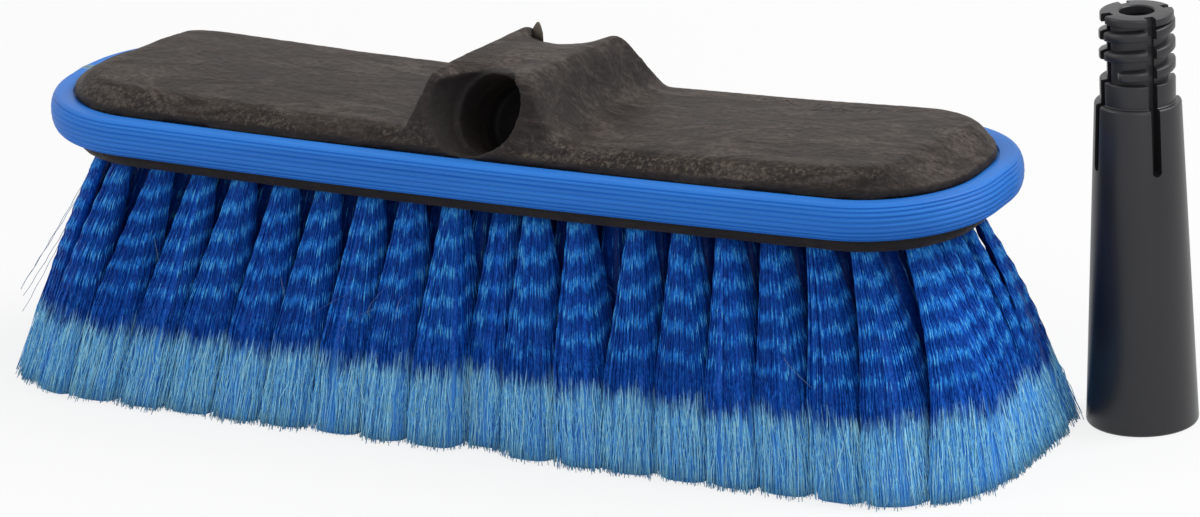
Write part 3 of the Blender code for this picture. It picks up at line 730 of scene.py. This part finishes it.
tufts = {
    "rows": 20, "perRow": 5,
    "pocketInset": 5.5,
    "rootMargin": 1.4, "rootRadius": 2.8, "rootSink": 0.8,
    "fullWidthShare": 0.62, "jitter": 0.5,
    "shiftedRows": (1, 13), "rootShift": -3.4,
    "lateRootShift": 0.4,  # more of it beyond the row that is set back
    "setBackRow": 10, "setBack": 4.5,
    "tipLength": 281, "tipWidth": 98, "tipCorner": 30,
    "trimX": 1.3, "trimY": 1.0,
    "leftBulge": 2.4, "rightBulge": 4.0,
    "endWidthShare": 0.8, "endSwellPower": 1.15,
    "rimFibres": 134, "cornerFibres": 176, "innerFibres": 20,
    "rimTurn": 2.3,  # how far round from its outer face a tuft's fibres go, in radians
    "cornerTurn": 1.75,
    "fibreDepths": (0.93, 1.03), "fibreRadius": 0.16,
    "fibreSteps": 26, "fibreDrift": 0.035,
    "crimpPeriod": 6.9, "crimpDepth": 0.22,
    "crimpMeans": (0, 0.3, 0.6, 1),  # of a tuft's start, tilt, chevron and period
    "crimpSpreads": (1.2, 0.6, 0.6, 0.05),
    "crimpShortening": 0.24, "crimpRipple": 0.6, "crimpJitter": 0.55,
    "crimpHeights": (12, 24),  # where it ends, and over what height it fades
    # where the painted highlight and shade of the crimp begin, and over what height they fade in
    "crimpLightHeights": (19, 12),
    "splitHeight": 23, "splitSpread": 2.5,
    "hairsPerFibre": 3, "hairSteps": 6,
    "hairRadius": 0.13, "hairTaper": (1.3, 0.8),
    "hairSpread": 0.95, "hairKink": 0.38, "hairReach": 2.2,
    "coreShare": 0.93, "coreHeight": 0.6,
    "rimCore": (24, 44),  # sides and rings
    "innerCore": (12, 24),
    "looseHairs": 4, "looseRadius": 0.07, "looseStarts": (12, 22),
    "looseSpread": (7, 0.5, 1), "looseFall": 9,
    "looseStand": (3, 5), "looseBow": 2.2,
    "strayHairs": 4, "strayRadius": 0.1,
    "strayY": (-9, -3), "strayTipX": (-148.5, -146), "strayTipZ": (9, 16),
    "strayBow": 1.2, "strayRipple": 0.1,
    "seed": 11,
    # Colours of the painted shade in the crimp's troughs, and of the painted highlight on its crests
    "troughShadeStops": (
        (0.25, (0.0007, 0.026, 0.25)), (0.5, (0.0014, 0.065, 0.45)), (0.75, (0.004, 0.12, 0.64)),
    ),
    "crestHighlightStops": (
        (0.25, (0.006, 0.16, 0.68)), (0.55, (0.022, 0.3, 0.92)), (0.8, (0.12, 0.56, 1.0)),
    ),
    "endStops": (
        (0.22, (0.1, 0.43, 1.0)), (0.5, (0.23, 0.67, 1.0)), (0.78, (0.44, 0.84, 1.0)),
    ),
    "innerEndColor": (0.045, 0.28, 0.82), "cutColor": (0.09, 0.23, 0.43),
    "looseStops": ((0.35, (0.1, 0.2, 0.36)), (0.65, (0.3, 0.42, 0.58))),
}
endRows = (0, tufts["rows"] - 1)
endTufts = (0, tufts["perRow"] - 1)
pocketHalfX = halfLength - tufts["pocketInset"]
pocketHalfY = halfWidth - tufts["pocketInset"]
pocketCorner = block["corner"] - tufts["pocketInset"]
tipHalfX = tufts["tipLength"] / 2 - tufts["trimX"]
tipHalfY = tufts["tipWidth"] / 2 - tufts["trimY"]


def halfWidthAt(x, halfX, halfY, radius):
    # Half the width of a rounded rectangle at x
    over = np.clip(np.abs(x) - (halfX - radius), 0, radius)
    return halfY - radius + np.sqrt(radius * radius - over * over)


def tubes(paths, radii, random, lit=None):
    # Three-sided tubes along many paths of (n, k, 3) points, each turned at random
    n, k = paths.shape[:2]
    angles = random.uniform(0, tau, n)[:, None] + np.arange(3) * tau / 3
    around = np.stack([np.cos(angles), np.sin(angles), np.zeros_like(angles)], -1)
    radii = np.broadcast_to(radii, (n, k))
    points = paths[:, :, None, :] + radii[:, :, None, None] * around[:, None, :, :]
    index = np.arange(n * k * 3).reshape(n, k, 3)
    low, high = index[:, :-1], index[:, 1:]
    quads = np.stack([low, np.roll(low, -1, 2), np.roll(high, -1, 2), high], -1).reshape(-1, 4)
    caps = np.concatenate([index[:, 0, ::-1], index[:, -1]])
    shades = np.zeros((n, k)) if lit is None else lit
    return points.reshape(-1, 3), quads, caps, np.repeat(shades.ravel(), 3)


def tuftShape(row, tuft):
    # Middle of a tuft at its root and tip, half sizes of its tip, and the way that it faces
    pitch = 2 * (pocketHalfX - block["seatGap"]) / tufts["rows"]
    reach = pocketHalfY - tufts["rootMargin"] - tufts["rootRadius"]
    along = row - (tufts["rows"] - 1) / 2
    across = 2 * tuft / (tufts["perRow"] - 1) - 1
    tipPitch = tufts["tipLength"] / tufts["rows"]
    cell = tipHalfY / tufts["perRow"]
    root = np.array([pitch * along, reach * across])
    tip = np.array([tipPitch * along, cell * across * (tufts["perRow"] - 1)])
    facing = atan2((tip[1] / tipHalfY) ** 3, (tip[0] / tipHalfX) ** 5)
    if tuft == 0 and tufts["shiftedRows"][0] <= row < tufts["shiftedRows"][1]:
        root[0] += tufts["rootShift"]
        if row == tufts["setBackRow"]:
            root[1] += tufts["setBack"]
            tip[1] += tufts["setBack"]
        if row > tufts["setBackRow"]:
            root[0] += tufts["lateRootShift"] * tufts["rootShift"]
    if row not in endRows:
        root[0] += tufts["jitter"] * noise.noise(Vector((row * 1.7, tuft * 3.3, 0.4)))
        tip[0] += 3 * tufts["jitter"] * noise.noise(Vector((row * 2.3, tuft * 1.9, 7.5)))
    return root, tip, np.array([tipPitch / 2, cell]), facing


def fadeIn(height, heights):
    return np.clip((height - heights[0]) / heights[1], 0, 1)


def tuftPaths(row, tuft, unit, tipZ, share, jitter):
    # Crimped lines from root to tip through (n, 2) places in the tuft's section, their ends, and the
    # share of painted highlight and shade along their waves
    root, tip, cell, facing = tuftShape(row, tuft)
    waves = np.random.default_rng([tufts["seed"], row, tuft])
    start, tilt, chevron, reach = waves.normal(tufts["crimpMeans"], tufts["crimpSpreads"])
    reach *= 1 - tufts["crimpShortening"] * (tip[0] / tipHalfX) ** 2

    # The tips fill a squarish cell, trimmed to the outline of the whole head
    squareness = np.linalg.norm(unit, axis=1) / (np.abs(unit) ** 4).sum(1) ** 0.25
    tipXY = tip + unit * squareness[:, None] * cell
    tipXY[:, 0] = np.clip(tipXY[:, 0], -tipHalfX, tipHalfX)
    tipXY[:, 1] = np.clip(tipXY[:, 1], -tipHalfY, tipHalfY)
    tipXY[:, 1] *= halfWidthAt(tipXY[:, 0], tipHalfX, tipHalfY, tufts["tipCorner"]) / tipHalfY

    # The roots stay inside the pocket
    offset = unit * tufts["rootRadius"]
    rootXY = root + offset
    inner = pocketHalfY - tufts["rootMargin"]
    narrow = halfWidthAt(rootXY[:, 0], pocketHalfX, pocketHalfY, pocketCorner) - tufts["rootMargin"]
    rootXY[:, 1] *= narrow / inner
    rootZ = undersideZ + endRise(rootXY[:, 0]) + tufts["rootSink"]

    # A tuft swells to the size of its tip, and the end rows do so more slowly
    full, power = tufts["fullWidthShare"], 1
    if row in endRows:
        full, power = tufts["endWidthShare"], tufts["endSwellPower"]
    swell = (np.clip(share / full, 0, 1) ** power)[:, :, None]
    run = share[:, :, None]
    base = rootXY - offset
    middle = base[:, None] + (tip - root) * run
    spread = offset[:, None] + (tipXY - tip - offset)[:, None] * swell
    flat = middle + spread - (base - root)[:, None] * run
    bulge = tufts["rightBulge"] if tip[0] > 0 else -tufts["leftBulge"]
    flat[:, :, 0] += bulge * (tip[0] / tipHalfX) ** 4 * np.sin(pi * share)

    # The crimp fades out at the root and above the split ends
    height = rootZ[:, None] + (tipZ - rootZ)[:, None] * share
    side = unit @ np.array([-sin(facing), cos(facing)])
    ripple = tufts["crimpRipple"] * np.cos(7 * side + start)
    phase = start + tilt * side + chevron * np.abs(side) + ripple + jitter
    down = rootZ[:, None] - height
    wave = np.sin(tau * down / tufts["crimpPeriod"] / reach + phase[:, None])
    depth = tufts["crimpDepth"] * np.clip(down / 4, 0, 1) * fadeIn(height, tufts["crimpHeights"])
    flat += (wave * depth)[:, :, None] * np.array([cos(facing), sin(facing)])
    # Painted highlight on the crests of the crimp and painted shade in its troughs, as a share from -1
    # to 1
    lit = wave * fadeIn(height, tufts["crimpLightHeights"])
    return np.concatenate([flat, height[:, :, None]], 2), tipXY, lit


def tuftCore(row, tuft, rim):
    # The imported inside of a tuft, as one crimped and tapering bundle
    sides, rings = tufts["rimCore"] if rim else tufts["innerCore"]
    angle = np.arange(sides) * tau / sides
    unit = np.stack([np.cos(angle), np.sin(angle)], 1) * tufts["coreShare"]
    share = np.tile(np.linspace(0, 1, rings), (sides, 1))
    tipZ = np.full(sides, tufts["coreHeight"])
    path, tip, lit = tuftPaths(row, tuft, unit, tipZ, share, 0)
    index = np.arange(sides * rings).reshape(sides, rings)
    after = np.roll(index, -1, 0)
    quads = np.stack([index[:, :-1], index[:, 1:], after[:, 1:], after[:, :-1]], -1).reshape(-1, 4)
    fan = np.stack([np.full(sides - 2, 0), np.arange(1, sides - 1), np.arange(2, sides)], 1)
    caps = np.concatenate([index[:, 0][fan], index[:, -1][fan[:, ::-1]]])
    # The core takes a weaker share of the painted crimp highlight, shifted towards painted shade
    return path.reshape(-1, 3), quads, caps, lit.ravel() * 0.6 - 0.3


def tuftFibres(row, tuft, rim, random):
    # Fibres on the outside of a tuft, down to where each one splits
    count, turn = tufts["innerFibres"], pi
    if rim:
        count, turn = tufts["rimFibres"], tufts["rimTurn"]
    if row in endRows and tuft in endTufts:
        count, turn = tufts["cornerFibres"], tufts["cornerTurn"]
    steps = tufts["fibreSteps"]
    angle = tuftShape(row, tuft)[3] + random.uniform(-turn, turn, count)
    unit = np.stack([np.cos(angle), np.sin(angle)], 1)
    unit *= random.uniform(*tufts["fibreDepths"], count)[:, None]
    tipZ = np.abs(random.normal(0.2, 0.4, count) + random.normal(0.3, 0.5))
    splitZ = tufts["splitHeight"] + random.normal(0, tufts["splitSpread"], count)
    share = np.linspace(0, 1, steps)[None, :] * (1 - splitZ / undersideZ)[:, None]
    jitter = random.normal(0, tufts["crimpJitter"], count)
    path, tip, lit = tuftPaths(row, tuft, unit, tipZ, share, jitter)
    drift = np.cumsum(random.normal(0, tufts["fibreDrift"], (count, steps, 2)), 1)
    path[:, :, :2] += drift * np.linspace(0, 1, steps)[None, :, None]
    return path, tip, tipZ, lit


def keepInside(line):
    # Loose ends stay within reach of the trimmed outline
    reach = tufts["hairReach"]
    line[:, :, 0] = np.clip(line[:, :, 0], -tipHalfX - reach, tipHalfX + reach)
    line[:, :, 1] = np.clip(line[:, :, 1], -tipHalfY - reach, tipHalfY + reach)
    line[:, :, 2] = np.maximum(line[:, :, 2], 0.03)
    return line


def straightLines(start, end, steps):
    # Lines of (n, steps, 3) points between (n, 3) starts and ends, and their share of the way
    s = np.linspace(0, 1, steps)[None, :, None]
    return start[:, None, :] * (1 - s) + end[:, None, :] * s, s


def splitHairs(path, tip, tipZ, random):
    # The flagged ends: each fibre goes on as a few finer hairs
    hairs, steps = tufts["hairsPerFibre"], tufts["hairSteps"]
    count = len(path) * hairs
    ends = np.repeat(tip, hairs, 0) + random.normal(0, tufts["hairSpread"], (count, 2))
    endZ = np.clip(np.repeat(tipZ, hairs) + random.normal(0.05, 0.25, count), 0.05, 4)
    low = np.concatenate([ends, endZ[:, None]], 1)
    line, s = straightLines(np.repeat(path[:, -1], hairs, 0), low, steps)
    kink = random.normal(0, tufts["hairKink"], (count, steps, 3)) * [1, 1, 0.2]
    return keepInside(line + kink * np.sin(pi * np.clip(s, 0, 0.85)))


def looseHairs(paths, random):
    # Thin hairs that have come out of line and cross the tufts
    count = tufts["looseHairs"]
    path = paths[random.integers(0, len(paths))]
    chosen = path[random.integers(0, len(path), count)]
    start = chosen[np.arange(count), random.integers(*tufts["looseStarts"], count)]
    away = np.sign(start[:, 1:2])
    end = start + random.normal(0, 1, (count, 3)) * tufts["looseSpread"]
    end[:, 2] -= tufts["looseFall"]
    end[:, 1:2] += away * random.uniform(*tufts["looseStand"], (count, 1))
    line, s = straightLines(start, end, 12)
    bow = random.normal(0, tufts["looseBow"], (count, 1, 3)) * [1, 0, 0.6]
    return keepInside(line + bow * np.sin(pi * s))


def strayHairs(random):
    # A few long fibres that stand off a little from the left end
    count = tufts["strayHairs"]
    y = random.uniform(*tufts["strayY"], (count, 1))
    rootX = np.full((count, 1), -pocketHalfX + 1.5)
    start = np.concatenate([rootX, y, np.full((count, 1), undersideZ)], 1)
    tipX = random.uniform(*tufts["strayTipX"], (count, 1))
    tipZ = random.uniform(*tufts["strayTipZ"], (count, 1))
    line, s = straightLines(start, np.concatenate([tipX, y - 6, tipZ], 1), 24)
    bow = random.uniform(0, tufts["strayBow"], (count, 1, 1)) * [1, 0, 0]
    ripple = np.sin(tau * s * 7 + random.uniform(0, 6, (count, 1, 1)))
    return line + bow * np.sin(pi * s) + ripple * ([tufts["strayRipple"]] * 2 + [0])


def makeRow(row, materials):
    random = np.random.default_rng(tufts["seed"] + row)
    taper = tufts["hairRadius"] * np.linspace(*tufts["hairTaper"], tufts["hairSteps"])
    parts, paths = [], []
    for tuft in range(tufts["perRow"]):
        rim = tuft in endTufts or row in endRows
        parts.append((tuftCore(row, tuft, rim), 0))
        path, tip, tipZ, lit = tuftFibres(row, tuft, rim, random)
        radii = tufts["fibreRadius"] * random.uniform(0.75, 1.2, (len(path), 1))
        parts.append((tubes(path, radii, random, lit), 0))
        parts.append((tubes(splitHairs(path, tip, tipZ, random), taper, random), 0))
        if rim:
            paths.append(path)
    if row not in endRows:
        parts.append((tubes(looseHairs(paths, random), tufts["looseRadius"], random), 1))
    if row == 0:
        parts.append((tubes(strayHairs(random), tufts["strayRadius"], random), 1))

    # All parts become one mesh, quads before caps, the loose hairs in the second material
    points, quads, caps, shades = zip(*[part for part, slot in parts])
    starts = np.cumsum([0] + [len(places) for places in points[:-1]])
    faces = [part + start for kind in (quads, caps) for part, start in zip(kind, starts)]
    slots = [slot for part, slot in parts] * 2
    indexes = [np.full(len(part), slot, np.int32) for part, slot in zip(faces, slots)]
    points = np.concatenate(points)
    points[:, 0] += brushX
    mesh = meshFromArrays("tuftRow", points * mm, faces)
    obj = addObject("tuftRow%02d" % (row + 1), mesh, materials[0])
    mesh.materials.append(materials[1])
    mesh.polygons.foreach_set("material_index", np.concatenate(indexes))
    # The crimp attribute carries the painted highlight and shade of the crimp
    crimp = mesh.attributes.new("crimp", "FLOAT", "POINT")
    crimp.data.foreach_set("value", np.concatenate(shades).astype(np.float32))
    mesh.shade_smooth()
    return obj


def bristleMaterial():
    # Deep blue with painted highlight on the crests of the crimp and painted shade in its troughs,
    # paler where the fibres split, greyer at the cut ends
    material, tree, shader = newMaterial("bristleFibre", (0.01, 0.12, 0.5), 0.42)
    streak = noiseMap(tree, (2400, 2400, 90), 3)
    clump = noiseMap(tree, (150, 150, 50), 3)
    island = addNode(tree, "ShaderNodeNewGeometry").outputs["Random Per Island"]
    # The crimp attribute sets the painted highlight on crests and the painted shade in troughs
    crimp = attribute(tree, "crimp")
    strand = level(tree, streak, 0.34, 0.66)
    vary = maths(tree, "ADD", times(tree, island, 0.5), times(tree, strand, 0.5))
    trough = ramp(tree, vary, tufts["troughShadeStops"])
    crest = ramp(tree, vary, tufts["crestHighlightStops"])
    upper = blend(tree, level(tree, crimp, 0.1, 0.7, 0.08, 1), trough, crest)
    inner = level(tree, crimp, -0.1, -0.3, 0, 0.85)
    lower = blend(tree, inner, ramp(tree, vary, tufts["endStops"]), tufts["innerEndColor"])
    height = times(tree, upPart(tree, objectAt(tree)), 1000)
    ragged = maths(tree, "ADD", times(tree, clump, 12), times(tree, island, 4))
    edge = maths(tree, "SUBTRACT", height, ragged)
    color = blend(tree, level(tree, edge, 13, 8.5), upper, lower)
    color = blend(tree, level(tree, height, 2.2, 0.3, 0, 0.45), color, tufts["cutColor"])
    plug(shader, {"Base Color": color, "Specular IOR Level": 0.12})
    return material


def looseMaterial():
    material, tree, shader = newMaterial("looseFibre", (0.2, 0.32, 0.48), 0.45)
    tone = noiseMap(tree, (200, 200, 200), 2)
    plug(shader, {"Base Color": ramp(tree, tone, tufts["looseStops"])})
    return material


fibreMaterials = [bristleMaterial(), looseMaterial()]
tuftFaces = 0
for row in range(tufts["rows"]):
    tuftRow = makeRow(row, fibreMaterials)
    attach(tuftRow, "brush")
    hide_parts("tuft_row_%02d" % (row + 1))
    tuftFaces += len(tuftRow.data.polygons)
print("tufts made,", tuftFaces, "faces")


# Adapter: a tapered plug with a split threaded spigot, sizes in mm

adapter = {
    "sides": 128, "height": adapterHigh[2] / mm,
    "baseRadius": 14.2, "baseRound": 0.9,
    "shoulderRadius": 10.9, "shoulderHeight": 84.5, "shoulderRound": 0.7,
    "collarRadius": 9.45, "collarHeight": 6.0, "collarFillet": 0.2,
    "edgeRound": 0.3,
    "coreRadius": 7.6,
    "threadRadius": 9.5, "threadPitch": 5.08,
    "threadTurns": 2.6, "threadFadeSteps": 5,
    "rootThickness": 3.2, "crestThickness": 2.0,
    "threadAngle": -110, "threadRise": 1.85,
    "plateRadius": 9.2, "plateThickness": 2.1, "plateRound": 0.5,
    "holeRadius": 4.4,
    "boreRadius": 5.4,
    "socketRadius": 11.8, "socketEndRadius": 9.2, "socketDepth": 66,
    "slots": 4, "slotWidth": 2.4,
    "slotFloor": 6.7, "slotEnd": 67.5, "slotEndSteps": 12,
    "slotAngle": -44.5, "toneStops": ((0.3, (0.016, 0.016, 0.019)), (0.7, (0.022, 0.022, 0.025))),
}


def roundedCorner(radius, z, round, start, steps=4):
    # Points of a quarter turn from start, in degrees, that rounds off a corner at (radius, z)
    middle = (radius - round, z + round if start < 0 else z - round)
    angles = [radians(start + 90 * i / steps) for i in range(steps + 1)]
    return [(middle[0] + round * cos(a), middle[1] + round * sin(a)) for a in angles]


def adapterBody():
    top, edge, fillet = adapter["height"], adapter["edgeRound"], adapter["collarFillet"]
    plateBottom = top - adapter["plateThickness"]
    shoulder, collar = adapter["shoulderHeight"], adapter["collarRadius"]
    collarTop = shoulder + adapter["collarHeight"]
    profile = [(adapter["socketRadius"], edge), (adapter["socketRadius"] + edge, 0)]
    profile += roundedCorner(adapter["baseRadius"], 0, adapter["baseRound"], -90)
    profile += roundedCorner(adapter["shoulderRadius"], shoulder, adapter["shoulderRound"], 0)
    profile += [(collar + fillet, shoulder), (collar, shoulder + fillet)]
    profile += roundedCorner(collar, collarTop, edge, 0)
    profile += [(adapter["coreRadius"], collarTop), (adapter["coreRadius"], plateBottom)]
    profile += roundedCorner(adapter["plateRadius"], plateBottom, edge, -90)
    profile += roundedCorner(adapter["plateRadius"], top, adapter["plateRound"], 0)
    profile += [(adapter["holeRadius"] + edge, top), (adapter["holeRadius"], top - edge)]
    profile += [(adapter["holeRadius"], plateBottom), (adapter["boreRadius"], plateBottom)]
    profile += [(adapter[key], adapter["socketDepth"]) for key in ("boreRadius", "socketEndRadius")]
    angles = [tau * i / adapter["sides"] for i in range(adapter["sides"])]
    rings = [[(r * cos(a), r * sin(a), z) for a in angles] for r, z in profile]
    return loft("handleAdapter", rings, ring=True)


def adapterThread(material):
    # One helical ridge, sunk into the core, that fades in and out at its ends
    steps = int(adapter["sides"] * adapter["threadTurns"])
    low = adapter["shoulderHeight"] + adapter["collarHeight"] + adapter["threadRise"]
    core = adapter["coreRadius"]
    crest, root = adapter["crestThickness"] / 2, adapter["rootThickness"] / 2
    sections = []
    for step in range(steps + 1):
        turn = step / adapter["sides"]
        angle = radians(adapter["threadAngle"]) + tau * turn
        fade = min(min(step, steps - step) / adapter["threadFadeSteps"], 1)
        outer = core - 0.2 + (adapter["threadRadius"] - core + 0.2) * fade
        section = ((core - 0.4, -root), (outer - 0.2, -crest - 0.1), (outer, -crest + 0.15))
        section += ((outer, crest - 0.15), (outer - 0.2, crest + 0.1), (core - 0.4, root))
        x, y, z = cos(angle), sin(angle), low + adapter["threadPitch"] * turn
        sections.append([(r * x, r * y, z + rise) for r, rise in section])
    return addObject("adapterThread", loft("adapterThread", sections), material)


def adapterSlot(number, material):
    half, steps = adapter["slotWidth"] / 2, adapter["slotEndSteps"]
    shape = [(half, adapter["height"] + 1), (-half, adapter["height"] + 1)]
    for i in range(steps + 1):
        angle = pi + pi * i / steps
        shape.append((half * cos(angle), adapter["slotEnd"] + half + half * sin(angle)))
    radii = (adapter["slotFloor"], adapter["baseRadius"] + 1)
    walls = [[(radius, y, z) for y, z in shape] for radius in radii]
    turn = radians(adapter["slotAngle"]) + tau * number / adapter["slots"]
    mesh = loft("adapterSlot", walls, matrix=Matrix.Rotation(turn, 4, "Z"))
    return addObject("adapterSlot", mesh, material)


def makeAdapter(material):
    obj = addObject("handleAdapter", adapterBody(), material)
    combine(obj, [adapterThread(material)], "UNION")
    combine(obj, [adapterSlot(number, material) for number in range(adapter["slots"])])
    obj.data.transform(toFrame(adapterX, adapterY))
    smoothBelow(obj.data, 40)
    return obj


def adapterMaterial():
    # Near-black with a soft change of tone, and a very fine grain
    material, tree, shader = newMaterial("blackPlastic", (0.014, 0.0145, 0.0185), 0.38)
    soft = noiseMap(tree, (60, 60, 20))
    plug(shader, {
        "Base Color": ramp(tree, soft, adapter["toneStops"]),
        "Roughness": level(tree, soft, 0.3, 0.7, 0.32, 0.42),
        "Normal": bump(tree, noiseMap(tree, (1500, 1500, 1500), 2), 0.00004, 0.5),
        "Specular IOR Level": 0.42,
    })
    return material


handleAdapter = makeAdapter(adapterMaterial())
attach(handleAdapter, "adapter")
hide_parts("handle_adapter")
print("adapter made,", len(handleAdapter.data.polygons), "faces")


# Floor, lamps and world, sizes in metres

studio = {
    "floorSize": 4.0, "floorColor": (0.9, 0.9, 0.9), "floorGlow": 0.82,
    "bounceColor": (0.48, 0.48, 0.48),
    "worldStrength": 0.5, "lampAim": (0, 0, 0.05),
    "lamps": (
        ("topLamp", (0.95, 0.5, 1.3), 1.1, 15),
        ("leftLamp", (-1.3, -1.0, 0.8), 0.8, 5.5),
        ("rightLamp", (1.2, -1.5, 0.7), 0.8, 6),
    ),
}


def seenShare(tree):
    # 1 for what the camera sees straight, in a shiny surface or through a clear one
    path = addNode(tree, "ShaderNodeLightPath")
    seen = maths(tree, "MAXIMUM", path.outputs["Is Camera Ray"], path.outputs["Is Glossy Ray"])
    return maths(tree, "MAXIMUM", seen, path.outputs["Is Transmission Ray"])


def makeFloor():
    half = studio["floorSize"] / 2
    bm = bmesh.new()
    corners = ((-half, -half), (half, -half), (half, half), (-half, half))
    bm.faces.new([bm.verts.new((x, y, 0)) for x, y in corners])
    material, tree, shader = newMaterial("paleFloor", studio["floorColor"], 0.9)
    seen = seenShare(tree)
    bounce = blend(tree, seen, studio["bounceColor"], studio["floorColor"])
    plug(shader, {"Base Color": bounce, "Specular IOR Level": 0.1})
    white = addNode(tree, "ShaderNodeEmission", {"Strength": 1.0}).outputs["Emission"]
    shares = {"Fac": times(tree, seen, studio["floorGlow"]), 1: shader.outputs["BSDF"], 2: white}
    mix = addNode(tree, "ShaderNodeMixShader", shares)
    plug(tree.nodes["Material Output"], {"Surface": mix.outputs["Shader"]})
    addObject("floor", meshFromBm("floor", bm), material)


def makeLamps():
    for name, place, size, power in studio["lamps"]:
        data = bpy.data.lights.new(name, "AREA")
        data.shape = "DISK"
        data.size = size
        data.energy = power
        lamp = linked(name, data)
        lamp.location = place
        lamp.rotation_mode = "QUATERNION"
        lamp.rotation_quaternion = (Vector(studio["lampAim"]) - Vector(place)).to_track_quat("-Z", "Y")


def makeWorld():
    world = bpy.data.worlds.new("studio")
    world.use_nodes = True
    tree = world.node_tree
    strength = level(tree, seenShare(tree), 0, 1, studio["worldStrength"], 1)
    plug(tree.nodes["Background"], {"Color": (1, 1, 1), "Strength": strength})
    bpy.context.scene.world = world
    bpy.context.scene.view_settings.view_transform = "Standard"


makeFloor()
makeLamps()
makeWorld()
print("studio made")
